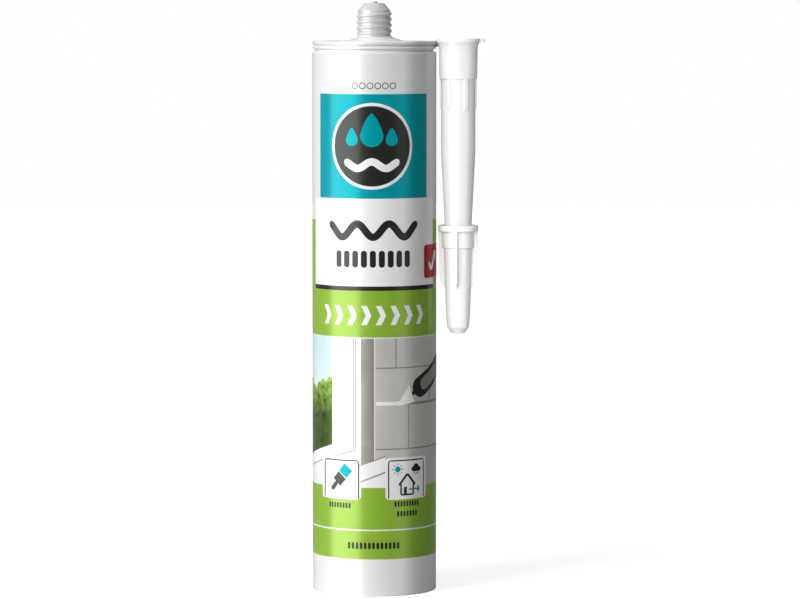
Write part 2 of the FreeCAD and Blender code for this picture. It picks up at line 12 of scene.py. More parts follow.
import bmesh
import bpy
import numpy as np
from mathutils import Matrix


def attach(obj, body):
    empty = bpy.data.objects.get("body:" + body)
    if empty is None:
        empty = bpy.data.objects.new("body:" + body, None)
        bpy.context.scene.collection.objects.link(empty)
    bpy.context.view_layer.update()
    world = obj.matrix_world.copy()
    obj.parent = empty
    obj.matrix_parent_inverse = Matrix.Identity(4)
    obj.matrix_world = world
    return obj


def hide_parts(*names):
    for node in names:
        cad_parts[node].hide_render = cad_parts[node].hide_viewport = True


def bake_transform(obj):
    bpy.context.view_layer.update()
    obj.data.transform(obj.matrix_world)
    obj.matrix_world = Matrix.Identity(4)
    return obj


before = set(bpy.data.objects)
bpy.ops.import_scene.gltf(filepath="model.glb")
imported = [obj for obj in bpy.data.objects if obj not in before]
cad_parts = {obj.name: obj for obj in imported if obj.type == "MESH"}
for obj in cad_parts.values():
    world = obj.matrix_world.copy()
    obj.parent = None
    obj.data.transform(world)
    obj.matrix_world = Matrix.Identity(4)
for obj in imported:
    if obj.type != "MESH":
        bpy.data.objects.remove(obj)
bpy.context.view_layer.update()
MM = 0.001


# %% [markdown]
# The camera
#
# The ellipses of the label's edges tell how high the camera was and how far it looked down. A long lens from
# a metre and a half gives the same flat perspective as the product photograph.

# %% Camera
camera_data = bpy.data.cameras.new("product_camera")
camera_data.lens = 170.55
camera_data.sensor_width = 36.0
camera_data.sensor_fit = "HORIZONTAL"
camera_data.clip_start = 0.05
camera = bpy.data.objects.new("product_camera", camera_data)
camera.location = (10.19 * MM, -1503.2 * MM, 230.5 * MM)
camera.rotation_euler = (math.radians(90 - 4.365), 0, 0)
bpy.context.scene.collection.objects.link(camera)
bpy.context.scene.camera = camera
bpy.context.scene.view_settings.view_transform = "Standard"
print("camera looks down by", round(90 - math.degrees(camera.rotation_euler.x), 2), "degrees")


# %% [markdown]
# Colours and nodes
#
# Colours are written as they look on a screen, in sRGB hex, and one function turns them into the linear
# numbers that light adds up in. One more function adds a shader node, sets it and wires it.

# %% Helpers for colours and nodes
def linear(hex_colour):
    """sRGB to linear: c / 12.92 below 0.04045, else ((c + 0.055) / 1.055) to the power 2.4."""
    channels = np.array([int(hex_colour[place:place + 2], 16) for place in (1, 3, 5)]) / 255
    curve = np.where(channels <= 0.04045, channels / 12.92, ((channels + 0.055) / 1.055) ** 2.4)
    return (*curve.tolist(), 1.0)


def add_node(tree, kind, settings=None, **inputs):
    """Adds a node, sets its properties, and gives each input a value or wires an output into it."""
    node = tree.nodes.new(kind)
    for name, value in (settings or {}).items():
        setattr(node, name, value)
    for name, value in inputs.items():
        socket = node.inputs[int(name[1:])] if name[1:].isdigit() else node.inputs[name.replace("_", " ")]
        if isinstance(value, bpy.types.NodeSocket):
            tree.links.new(value, socket)
        else:
            socket.default_value = value
    return node


def mixed_colour(tree, share, first, second):
    """An output that mixes two colours, each of them a value or an output."""
    mix = add_node(tree, "ShaderNodeMix", {"data_type": "RGBA"}, _0=share, _6=first, _7=second)
    return mix.outputs[2]


def bare_material(name):
    """A new material and its node tree, with nothing in it yet."""
    material = bpy.data.materials.new(name)
    material.use_nodes = True
    material.node_tree.nodes.clear()
    return material, material.node_tree


WHITE = (1, 1, 1, 1)
print("mid grey #808080 is", round(linear("#808080")[0], 3), "in linear light")


# %% [markdown]
# Floor, background and light
#
# The tube stands on a white sweep. The background is white for the camera, through Light Path, so no lamp
# has to burn it out. The light is one large soft source at the front left, as in a product studio. It is
# split in two: one lamp gives the soft shading, and a tall panel gives the bright streak that satin plastic
# and varnish show. A narrow strip at the right gives the second, weaker streak. Azimuths are in degrees from
# the viewer's side towards the right.

# %% Lamps
SUN_DISTANCE = 3.0
SUN_AIM = 0.11
PANEL_DISTANCE = 1.3
PANEL_HEIGHT = 2.6
PANEL_AIM = 0.05


def studio_lamp(name, kind, energy, azimuth, elevation, distance, aim_height):
    """A lamp at an azimuth (from -Y towards +X) and elevation, turned to a point on the tube's axis."""
    data = bpy.data.lights.new(name, kind)
    data.energy = energy
    lamp = bpy.data.objects.new(name, data)
    around, up = math.radians(azimuth), math.radians(elevation)
    away = np.array([math.sin(around) * math.cos(up), -math.cos(around) * math.cos(up), math.sin(up)])
    lamp.location = away * distance + (0, 0, aim_height)
    lamp.rotation_euler = (math.pi / 2 - up, 0, around)
    bpy.context.scene.collection.objects.link(lamp)
    lamp.visible_camera = False
    return lamp


def studio_sun(name, energy, azimuth, elevation):
    """A sun lamp, which lights every place from the same direction."""
    return studio_lamp(name, "SUN", energy, azimuth, elevation, SUN_DISTANCE, SUN_AIM)


def streak_panel(name, radiance, azimuth, width):
    """A tall panel that only makes a streak. Its power is pi * area * radiance."""
    power = math.pi * width * PANEL_HEIGHT * radiance
    panel = studio_lamp(name, "AREA", power, azimuth, 0, PANEL_DISTANCE, PANEL_AIM)
    panel.data.shape = "RECTANGLE"
    panel.data.size = width
    panel.data.size_y = PANEL_HEIGHT
    panel.visible_diffuse = False
    return panel


key = studio_sun("key_shading", 2.4, -47, 16)
streak_panel("key_streak", 8.0, -56.5, 1.47)
streak_panel("right_streak", 1.5, 53.5, 0.58)


# %% World
ROOM_AT_LEFT = 0.42
ROOM_AT_RIGHT = 0.14


def make_world():
    """White for the camera, and for every other ray a grey that falls from the left to the right."""
    world = bpy.data.worlds.new("white_studio")
    world.use_nodes = True
    tree = world.node_tree
    tree.nodes.clear()
    place = add_node(tree, "ShaderNodeTexCoord").outputs["Generated"]
    along = add_node(tree, "ShaderNodeSeparateXYZ", Vector=place).outputs["X"]
    fall = add_node(tree, "ShaderNodeMapRange", Value=along, From_Min=-1.0, From_Max=1.0,
                    To_Min=ROOM_AT_LEFT, To_Max=ROOM_AT_RIGHT)
    room = add_node(tree, "ShaderNodeBackground", Color=WHITE, Strength=fall.outputs["Result"])
    sweep = add_node(tree, "ShaderNodeBackground", Color=WHITE, Strength=1.0)
    eye = add_node(tree, "ShaderNodeLightPath").outputs["Is Camera Ray"]
    mixed = add_node(tree, "ShaderNodeMixShader", _0=eye, _1=room.outputs[0], _2=sweep.outputs[0])
    add_node(tree, "ShaderNodeOutputWorld", Surface=mixed.outputs[0])
    return world


bpy.context.scene.world = make_world()
print("world:", bpy.context.scene.world.name)


# %% Floor
FLOOR_HALF = 3.0
FLOOR_GREY = 0.8
FLOOR_GLOW = 0.72


def make_floor():
    """A flat square at z = 0, white to the camera, that still takes the tube's soft shadow."""
    data = bpy.data.meshes.new("floor")
    corners = [(x * FLOOR_HALF, y * FLOOR_HALF, 0) for x, y in ((-1, -1), (1, -1), (1, 1), (-1, 1))]
    data.from_pydata(corners, [], [(0, 1, 2, 3)])
    floor = bpy.data.objects.new("floor", data)
    bpy.context.scene.collection.objects.link(floor)
    paper, tree = bare_material("white_paper_sweep")
    sheet = add_node(tree, "ShaderNodeBsdfDiffuse", Color=(FLOOR_GREY, FLOOR_GREY, FLOOR_GREY, 1))
    path = add_node(tree, "ShaderNodeLightPath").outputs
    either = {"operation": "MAXIMUM"}
    seen = add_node(tree, "ShaderNodeMath", either, _0=path["Is Camera Ray"], _1=path["Is Glossy Ray"])
    seen = add_node(tree, "ShaderNodeMath", either, _0=seen.outputs[0], _1=path["Is Transmission Ray"])
    glow = add_node(tree, "ShaderNodeMath", {"operation": "MULTIPLY"}, _0=seen.outputs[0], _1=FLOOR_GLOW)
    glow = add_node(tree, "ShaderNodeEmission", Color=WHITE, Strength=glow.outputs[0])
    both = add_node(tree, "ShaderNodeAddShader", _0=sheet.outputs[0], _1=glow.outputs[0])
    add_node(tree, "ShaderNodeOutputMaterial", Surface=both.outputs[0])
    data.materials.append(paper)
    floor.visible_glossy = False
    floor.visible_shadow = False
    return floor


floor = make_floor()
print("floor laid")


# %% [markdown]
# Grids
#
# Nearly every piece here is turned about an axis: a profile in (radius, height) is carried round. A moulded
# edge is never sharp, so the profile's corners get arcs first. An arc between two directions is worked out
# for all corners at once, as a weighted sum of its two ends in which the weights are sines.

# %% Profiles with rounded corners
def rounded_profile(corners, closed=False, steps=4):
    """Rows (radius, height) along an outline whose corners (radius, height, rounding) are arcs.

    An arc runs from A to B about a centre O through the turn T: point(t) =
    O + (sin((1-t)T) (A-O) + sin(tT) (B-O)) / sin(T). One more row stands just outside each end of an arc,
    so that the shading of a long flat side isn't drawn into the edge. An open outline starts and ends on the
    axis.
    """
    rows = np.array(corners, float)
    inner = rows if closed else rows[1:-1]
    before = np.roll(rows, 1, axis=0) if closed else rows[:-2]
    after = np.roll(rows, -1, axis=0) if closed else rows[2:]
    point, rounding = inner[:, :2], inner[:, 2]
    to_before, to_after = before[:, :2] - point, after[:, :2] - point
    long_before = np.linalg.norm(to_before, axis=1)
    long_after = np.linalg.norm(to_after, axis=1)
    to_before, to_after = to_before / long_before[:, None], to_after / long_after[:, None]
    between = np.arccos(np.clip((to_before * to_after).sum(1), -0.9999999, 0.9999999))
    reach = np.minimum(rounding / np.tan(between / 2), 0.4 * np.minimum(long_before, long_after))
    first, last = point + to_before * reach[:, None], point + to_after * reach[:, None]
    radius = reach * np.tan(between / 2)
    middle = to_before + to_after
    middle = middle / np.linalg.norm(middle, axis=1)[:, None]
    centre = point + middle * (radius / np.sin(between / 2))[:, None]
    turn = (np.pi - between)[:, None, None]
    t = np.linspace(0, 1, steps + 1)[None, :, None]
    from_first, from_last = (first - centre)[:, None], (last - centre)[:, None]
    arcs = np.sin((1 - t) * turn) * from_first + np.sin(t * turn) * from_last
    arcs = centre[:, None] + arcs / np.sin(turn)
    step_out = np.minimum(0.3, 0.08 * np.minimum(long_before, long_after))[:, None]
    outline = np.concatenate([
        (first + to_before * step_out)[:, None], arcs, (last + to_after * step_out)[:, None],
    ], axis=1).reshape(-1, 2)
    if closed:
        return outline
    return np.concatenate([rows[:1, :2], outline, rows[-1:, :2]])


def with_rows(profile, heights, on_side):
    """Adds a row wherever the outline crosses one of the heights on the side that on_side(radius) picks."""
    following = np.roll(profile, -1, axis=0)
    clear = 0.02
    pieces = []
    for (r0, z0), (r1, z1) in zip(profile, following):
        crossed = heights[(heights > min(z0, z1) + clear) & (heights < max(z0, z1) - clear)]
        wanted = on_side(r0) and on_side(r1) and len(crossed)
        share = np.sort((crossed - z0) / (z1 - z0)) if wanted else np.zeros(0)
        share = np.concatenate([[0.0], share])[:, None]
        pieces.append(np.array([r0, z0]) + share * np.array([r1 - r0, z1 - z0]))
    return np.concatenate(pieces)


example = rounded_profile([(0, 0, 0), (10, 0, 1), (10, 5, 1), (0, 5, 0)])
print("a plain disc's profile has", len(example), "rows")


# %% [markdown]
# From a grid to a mesh
#
# A grid of points with `rows x columns` gives quads between neighbours. Columns that go all the way round are
# joined to the first one, and so are the rows of a profile that closes on itself, as a tube's does. Where a
# profile ends on the axis, the last row is one point with a fan of triangles, so the skin stays closed.

# %% Grid to mesh
def mesh_piece(name, points, quads, triangles=None):
    """Puts points (in mm) and faces into a smooth-shaded mesh object at the origin."""
    triangles = np.zeros((0, 3), int) if triangles is None else triangles
    data = bpy.data.meshes.new(name)
    loops = np.concatenate([quads.reshape(-1), triangles.reshape(-1)]).astype(np.int32)
    starts = np.concatenate([np.arange(len(quads)) * 4, len(quads) * 4 + np.arange(len(triangles)) * 3])
    data.vertices.add(len(points))
    data.vertices.foreach_set("co", (np.asarray(points, float) * MM).astype(np.float32).reshape(-1))
    data.loops.add(len(loops))
    data.loops.foreach_set("vertex_index", loops)
    data.polygons.add(len(starts))
    data.polygons.foreach_set("loop_start", starts.astype(np.int32))
    data.polygons.foreach_set("use_smooth", np.ones(len(starts), bool))
    data.update(calc_edges=True)
    data.validate()
    piece = bpy.data.objects.new(name, data)
    bpy.context.scene.collection.objects.link(piece)
    return piece


def grid_quads(rows, columns, wrap_rows=False, wrap_columns=True):
    """Corner numbers of the quads of a grid whose point (i, j) has the number i * columns + j."""
    i = np.arange(rows if wrap_rows else rows - 1)[:, None]
    j = np.arange(columns if wrap_columns else columns - 1)[None, :]
    next_i, next_j = (i + 1) % rows, (j + 1) % columns
    corners = [i * columns + j, i * columns + next_j, next_i * columns + next_j, next_i * columns + j]
    return np.stack(np.broadcast_arrays(*corners), axis=-1).reshape(-1, 4)


def turned_piece(name, grid, closed):
    """A piece from a grid (rows, columns, 3) that goes round its axis.

    A profile walked with the material on its left gives faces that point outwards. An open profile's
    first and last rows lie on the axis and become one point each.
    """
    rows, columns = grid.shape[:2]
    if closed:
        return mesh_piece(name, grid.reshape(-1, 3), grid_quads(rows, columns, wrap_rows=True))
    points = np.concatenate([grid[:1, 0], grid[1:-1].reshape(-1, 3), grid[-1:, 0]])
    quads = grid_quads(rows - 2, columns) + 1
    around = np.arange(columns)
    beside = (around + 1) % columns
    last_row = 1 + (rows - 3) * columns
    first_fan = np.stack([np.zeros(columns, int), 1 + beside, 1 + around], axis=1)
    last_fan = np.stack([np.full(columns, len(points) - 1), last_row + around, last_row + beside], axis=1)
    return mesh_piece(name, points, quads, np.concatenate([first_fan, last_fan]))


def carried_round(profile, angles, lift=None):
    """x = r cos a, y = r sin a, z = z, where r is the profile's radius plus a lift at each (row, angle)."""
    radius = profile[:, :1] + (0 if lift is None else lift)
    height = np.broadcast_to(profile[:, 1:], (len(profile), len(angles)))
    return np.stack([radius * np.cos(angles), radius * np.sin(angles), height], axis=-1)


print("a grid of 3 rows and 4 columns has", len(grid_quads(3, 4)), "quads round")


# %% [markdown]
# The screw thread
#
# The nose and the nozzle's socket carry the same coarse, right-handed moulded thread. As a lift of the radius
# it needs no extra surface. At each angle the ridge's middle lies at `start + pitch (turns + angle / 360)`,
# and the lift is a trapezoid in the distance from the nearest middle, softened at its corners.

# %% Thread as a lift of the radius
THREAD_PITCH = 2.3


def thread_lift(height, angles, start, end, crest, root, depth, run_in):
    """Lift of a helical ridge at heights (rows) and angles (columns), in mm.

    With the pitch p, u = height - start - p * angle / 360 degrees, and the distance from the nearest ridge is
    u - p * round(u / p). The lift goes from depth inside half the crest's width to 0 at half the
    root's width, along a smooth step, and fades over run_in before both ends of the thread.
    """
    turns = angles[None, :] / (2 * np.pi)
    u = height[:, None] - start - THREAD_PITCH * turns
    nearest = np.round(u / THREAD_PITCH)
    off = np.abs(u - THREAD_PITCH * nearest)
    t = np.clip((root / 2 - off) / (root / 2 - crest / 2), 0, 1)
    middle = start + THREAD_PITCH * (nearest + turns)
    fade = np.clip((middle - start) / run_in, 0, 1) * np.clip((end - middle) / run_in, 0, 1)
    return depth * t * t * (3 - 2 * t) * fade


sample = thread_lift(np.array([219.75]), np.array([0.0]), 218.6, 229.6, 0.5, 1.5, 0.55, 0.5)
print("lift of the thread on its crest, in mm:", round(float(sample[0, 0]), 3))


# %% [markdown]
# The barrel
#
# The barrel is one injection moulding of white HDPE: a tube, a rim with two grooves, a shallow conical head
# and the closed, threaded nose. It is walked from the nose's tip down the outside, round the rear end and up
# the inside, so the whole wall is one closed skin with its true thickness.

# %% Barrel
BODY_RADIUS = 24.6
COLUMN_COUNT = 288
ROUND_COLUMNS = np.arange(COLUMN_COUNT) * 2 * np.pi / COLUMN_COUNT


def make_barrel():
    outline = [
        (0, 233.8, 0), (1.2, 233.8, 0.2), (1.2, 233.1, 0.25), (3.9, 233.1, 0.6), (6.4, 230.2, 0.6),
        (6.4, 219.7, 0.5), (21.9, 214.8, 0.5), (21.9, 218.2, 0.4), (24.4, 218.2, 0.4), (24.4, 216.7, 0.4),
        (23.4, 216.7, 0.12), (23.4, 216.1, 0.12), (24.4, 216.1, 0.4), (24.4, 215.0, 0.4), (23.4, 215.0, 0.15),
        (23.4, 213.9, 0.2), (24.6, 213.9, 0.5), (24.6, 0, 0.4), (23.5, 0, 0.2), (23.5, 10, 0.2),
        (23.2, 11, 0.3), (23.2, 212.689, 0.2), (5.0, 218.443, 0.3), (5.0, 229.8, 0.3), (2.5, 231.5, 0.3),
        (0, 231.5, 0),
    ]
    profile = rounded_profile(outline)
    profile = with_rows(profile, np.arange(219.7, 230.3, 0.12), lambda radius: 5.9 < radius < 7)
    on_nose = (profile[:, 0] > 5.9) & (profile[:, 0] < 7.2) & (profile[:, 1] > 219)
    lift = thread_lift(profile[:, 1], ROUND_COLUMNS, 217.45, 229.6, 0.45, 1.5, 0.55, 0.7)
    lift = lift * on_nose[:, None]
    return turned_piece("barrel_shell", carried_round(profile[::-1], ROUND_COLUMNS, lift[::-1]), closed=False)


barrel = make_barrel()
print("barrel:", len(barrel.data.polygons), "faces")


# %% [markdown]
# Plunger and paste
#
# The plunger is a milky LDPE cup with two wiper lips. The paste fills the space between its crown and the
# head. The paste keeps no rows between its two ends, so when the plunger rises its side stays straight.

# %% Plunger
def make_plunger():
    outline = [
        (0, 30.8, 0), (1.3, 30.8, 0.2), (1.6, 31.1, 0.2), (13.0, 31.1, 0.3), (13.4, 30.8, 0.2),
        (14.2, 30.8, 0.2), (14.6, 31.1, 0.3), (21.7, 31.1, 0.6), (21.7, 12.5, 0.3), (23.1, 12.5, 0.3),
        (23.1, 15.1, 0.25), (22.7, 15.1, 0.15), (22.7, 29.9, 0.15), (23.1, 29.9, 0.25), (23.1, 32.5, 0.5),
        (0, 32.5, 0),
    ]
    return turned_piece("plunger_cup", carried_round(rounded_profile(outline), ROUND_COLUMNS), closed=False)


plunger = make_plunger()
print("plunger:", len(plunger.data.polygons), "faces")


# %% Paste
def make_paste():
    rows = np.array([
        (0, 32.6), (23.1, 32.6), (23.1, 212.62), (4.9, 218.374), (4.9, 229.7), (2.4, 231.4), (0, 231.4),
    ], float)
    return turned_piece("paste_filling", carried_round(rows, ROUND_COLUMNS), closed=False)


paste = make_paste()
print("paste:", len(paste.data.polygons), "faces")


# %% [markdown]
# Ribs, fins and a tab
#
# The nozzle's grip ribs, its tab and the cap's fins stand out from a turned shape, and each has parallel
# sides. So the columns of the grid crowd together where one stands. A column has the angle of its rib, an
# offset across it and a height share: it is pushed out along the rib's own direction.

# %% Columns with ribs
def rib_columns(centres, offsets, shares, gap_columns, least_radius):
    """Columns (angle of the rib in radians, offset in mm, share of the height) for ribs at some centres.

    The offsets run over one side of a rib from its foot to its middle and are mirrored. Plain columns with
    no offset fill the gaps evenly, clear of the widest angle that an offset gets at the least radius.
    """
    offsets, shares = np.array(offsets, float), np.array(shares, float)
    side = np.concatenate([-offsets, offsets[-2::-1]])
    share = np.concatenate([shares, shares[-2::-1]])
    step = 2 * np.pi / len(centres)
    clear = 1.12 * offsets.max() / least_radius
    free = np.linspace(clear, step - clear, gap_columns)
    columns = []
    for centre in np.radians(centres):
        columns.append(np.stack([np.full(len(side), centre), side, share], axis=1))
        columns.append(np.stack([centre + free, np.zeros(len(free)), np.zeros(len(free))], axis=1))
    return np.concatenate(columns)


def carried_ribbed(profile, columns, reach, least_radius, lift=None):
    """Like carried_round, with each point moved out along its rib by share * (reach - r).

    x, y = e_r (r cos b + share (reach - r)) + e_t r sin b, where e_r and e_t are the rib's own directions
    and the angle b is the offset over r. reach holds one radius a row, never less than the row's own. A lift,
    such as a thread's, is added to r but not to the reach.
    """
    angle, offset, share = columns.T
    radius = profile[:, :1] + (0 if lift is None else lift)
    b = offset[None, :] / np.maximum(radius, least_radius)
    out = radius * np.cos(b) + share[None, :] * (reach[:, None] - profile[:, :1])
    along = radius * np.sin(b)
    x = out * np.cos(angle) - along * np.sin(angle)
    y = out * np.sin(angle) + along * np.cos(angle)
    return np.stack([x, y, np.broadcast_to(profile[:, 1:], x.shape)], axis=-1)


# %% [markdown]
# The nozzle
#
# One HDPE moulding: a flange with a small tab, a collar round the threaded socket, six grip ribs, a straight
# stem and a long hollow cone. It stands beside the barrel with its mouth up, 1 mm above the rim.

# %% Nozzle
NOZZLE_AXIS = 33.27
NOZZLE_FACE = 219.2
STEM_RADIUS = 6.82
SOCKET_RADIUS = 6.95
RIB_HEIGHT = 0.44
RIB_FOOT = -28.6
TAB_REACH = 1.83
FIRST_RIB = -4.0


def make_nozzle():
    outline = [
        (3.45, -113.5, 0.12), (STEM_RADIUS, -44.6, 3.0), (STEM_RADIUS, -16.0, 0.15), (7.48, -16.0, 0.3),
        (7.65, -4.6, 1.0), (7.84, -2.9, 0.9), (8.43, -1.5, 0.12), (8.67, -1.5, 0.12), (8.67, 0.0, 0.3),
        (7.15, 0.0, 0.2), (SOCKET_RADIUS, -0.9, 0.3), (SOCKET_RADIUS, -14.4, 0.2), (5.72, -14.4, 0.3),
        (5.72, -44.6, 3.0), (2.5, -113.5, 0.1),
    ]
    profile = rounded_profile(outline, closed=True)
    profile = with_rows(profile, np.arange(-29.0, -16.3, 0.33), lambda radius: 6.7 < radius < 6.94)
    profile = with_rows(profile, np.arange(-14.0, -1.0, 0.16), lambda radius: 6.945 < radius < 6.96)
    radius, depth = profile.T
    offsets = [1.75, 1.57, 1.5, 1.44, 1.25, 1.12, 0.98, 0.92, 0.86, 0.76, 0.55, 0.3, 0.0]
    rib_shares = [0, 0, 0, 0, 0, 0.02, 0.12, 0.55, 0.9, 1, 1, 1, 1]
    tab_shares = [0, 0.05, 0.93, 0.99, 1, 1, 1, 1, 1, 1, 1, 1, 1]
    centres = FIRST_RIB + np.arange(6) * 60.0
    least_radius = 6.0
    columns = rib_columns(centres, offsets, rib_shares, 26, least_radius)
    tab_columns = rib_columns(centres, offsets, tab_shares, 26, least_radius)
    on_tab = np.isclose(columns[:, 0], math.radians(FIRST_RIB)) & (np.abs(columns[:, 1]) < 1.8)
    outside = (radius > 6.7) & (depth < -15.9)
    run_out = np.clip((depth - RIB_FOOT) / 1.5, 0, 1)
    rib_top = np.maximum(radius, STEM_RADIUS + RIB_HEIGHT * run_out)
    rib_reach = np.where(outside & (depth > -29), rib_top, radius)
    angles = columns[:, 0] + columns[:, 1] / 7.0
    in_socket = (np.abs(radius - SOCKET_RADIUS) < 0.06) & (depth < -0.95)
    thread = -thread_lift(depth, np.mod(angles, 2 * np.pi), -14.6, -0.6, 0.5, 1.6, 0.45, 0.8)
    grid = carried_ribbed(profile, columns, rib_reach, least_radius, thread * in_socket[:, None])
    tab_reach = np.where((radius > 8.5) & (depth > -1.6), radius + TAB_REACH, radius)
    with_tab = carried_ribbed(profile, tab_columns, tab_reach, least_radius)
    on_flange = (depth > -1.6) & (radius > 7.0)
    grid = np.where((on_flange[:, None] & on_tab[None, :])[..., None], with_tab, grid)
    return turned_piece("spout", grid + (NOZZLE_AXIS, 0, NOZZLE_FACE), closed=True)


nozzle = make_nozzle()
print("nozzle:", len(nozzle.data.polygons), "faces")


# %% [markdown]
# The cap
#
# A closed LDPE sleeve pushed on the nozzle's tip: a flared lip to pull at, a collar, a cone with a blunt end,
# and four fins that start under the lip.

# %% Cap
CAP_BELOW_FACE = 74.0
FIRST_FIN = -6.0


def make_cap():
    outline = [
        (0, -43.0, 0), (2.7, -43.0, 0.7), (4.35, -40.6, 0.9), (4.8, -36.0, 2.5), (5.65, -9.0, 0.25),
        (6.35, -9.0, 0.25), (6.35, -2.3, 0.25), (7.94, -2.3, 0.2), (8.08, 0.0, 0.25), (7.2, 0.0, 0.15),
        (5.262, -4.5, 0.5), (3.511, -40.3, 0.3), (0, -40.3, 0),
    ]
    profile = rounded_profile(outline)
    heights = np.array([-25.6, -25.2, -24.6, -23.8, -23.0, -22.7, -22.4, -22.0, -15.0])
    profile = with_rows(profile, heights, lambda radius: 4.5 < radius < 6.4)
    radius, depth = profile.T
    outside = np.arange(len(radius)) < np.argmax(depth)
    edge = np.interp(depth, [-25.4, -22.6, -2.3], [4.9, 7.27, 7.92])
    reach = np.where(outside & (depth < -2.25) & (depth > -25.5), np.maximum(radius, edge), radius)
    offsets = [0.85, 0.6, 0.5, 0.46, 0.45, 0.42, 0.34, 0.18, 0.0]
    shares = [0, 0.015, 0.07, 0.2, 0.88, 0.97, 1, 1, 1]
    least_radius = 4.5
    columns = rib_columns(FIRST_FIN + np.arange(4) * 90.0, offsets, shares, 52, least_radius)
    grid = carried_ribbed(profile, columns, reach, least_radius)
    return turned_piece("tip_cap", grid + (NOZZLE_AXIS, 0, NOZZLE_FACE - CAP_BELOW_FACE), closed=False)


cap = make_cap()
print("cap:", len(cap.data.polygons), "faces")


# %% [markdown]
# The glue dot
#
# A blob of clear hot-melt glue in the wedge between the rim and the flange. It is a sphere whose radius
# swells and shrinks a little with the direction, as a dab that sagged before it set.

# %% Glue dot
DOT_RADIUS = 1.62
DOT_CENTRE = (24.6, 3.3, 217.0)
DOT_FLATNESS = 0.75


def make_glue_dot():
    rows, columns = 33, 48
    tilt = np.linspace(-np.pi / 2, np.pi / 2, rows)[:, None]
    around = (np.arange(columns) * 2 * np.pi / columns)[None, :]
    sag = 0.05 * np.sin(3 * around + 1) * np.cos(tilt) + 0.06 * np.sin(2 * tilt - 0.6)
    swell = DOT_RADIUS * (1 + sag)
    x = swell * np.cos(tilt) * np.cos(around)
    y = swell * np.cos(tilt) * np.sin(around)
    z = np.broadcast_to(swell * np.sin(tilt), x.shape) * DOT_FLATNESS
    return turned_piece("hot_melt_dot", np.stack([x, y, z], axis=-1) + DOT_CENTRE, closed=False)


glue_dot = make_glue_dot()
print("glue dot:", len(glue_dot.data.polygons), "faces")


# %% [markdown]
# Print
#
# The label is offset print, a film of ink on the barrel. Each colour is one piece. A patch is drawn flat, in
# degrees round the barrel and millimetres up, as the surface between two edges, and then wrapped on the
# barrel. Later inks lie on earlier ones, a few hundredths of a millimetre further out.

# %% Patches of ink
DEGREE = math.pi * BODY_RADIUS / 180


def between(low_edge, high_edge, strips=None):
    """Grid of points p(s, t) = (1 - t) low(s) + t high(s), as many strips wide as 0.45 mm steps need."""
    low_edge, high_edge = np.broadcast_arrays(np.array(low_edge, float), np.array(high_edge, float))
    if strips is None:
        across = (high_edge - low_edge) * (DEGREE, 0.0)
        strips = max(1, int(math.ceil(np.abs(across).max() / 0.45)))
    t = np.linspace(0, 1, strips + 1)[None, :, None]
    return (1 - t) * low_edge[:, None] + t * high_edge[:, None]


def over_angles(angle, low, high, strips):
    """The patch between a low and a high edge that share their angles."""
    angle, low, high = np.broadcast_arrays(angle, low, high)
    return between(np.stack([angle, low], 1), np.stack([angle, high], 1), strips)


def field(start, end, low, high):
    """A rectangle from one angle to another, with a column on every degree."""
    degrees = np.arange(math.ceil(start), math.floor(end) + 1)
    return over_angles(np.unique(np.concatenate([[start, end], degrees])), low, high, 1)


def rounded_field(start, end, low, high, corner):
    """A rectangle with rounded corners: its ends are pulled in by corner - sqrt(corner^2 - d^2) near its
    upper and lower edge, where d is how far a row lies inside the corner's height."""
    quarter = corner * (1 - np.cos(np.linspace(0.08, np.pi / 2, 7)))
    rows = np.concatenate([low + quarter, high - quarter[::-1]])
    inside = np.clip(np.maximum(low + corner - rows, rows - high + corner), 0, corner)
    pulled = (corner - np.sqrt(np.maximum(corner ** 2 - inside ** 2, 0))) / DEGREE
    return between(np.stack([start + pulled, rows], 1), np.stack([end - pulled, rows], 1))


def disc(centre, height, radius):
    """A round field: at the angle a its lower and upper edge are height -+ radius sin a."""
    turn = np.linspace(0.02, np.pi - 0.02, 49)
    angle = centre - radius * np.cos(turn) / DEGREE
    reach = radius * np.sin(turn)
    return over_angles(angle, height - reach, height + reach, max(2, int(radius / 0.6)))


def ring(centre, height, inner, outer):
    """The band between two circles."""
    turn = np.linspace(0, 2 * np.pi, 97)[:, None]
    direction = np.concatenate([np.cos(turn) / DEGREE, np.sin(turn)], axis=1)
    return between(direction * inner + (centre, height), direction * outer + (centre, height), 2)


def drop(centre, height, radius, length):
    """A drop: a circle whose upper half narrows to a point at length above its middle."""
    share = np.linspace(0, 1, 41)
    z = height - radius + share * (length + radius)
    below = np.clip((z - height) / radius, -1, 0)
    above = np.clip((z - height) / length, 0, 1)
    half = radius * np.sqrt(1 - below ** 2) * (1 - above) ** 0.75 * (1 + 0.25 * above) + 0.01
    return between(np.stack([centre - half / DEGREE, z], 1), np.stack([centre + half / DEGREE, z], 1))


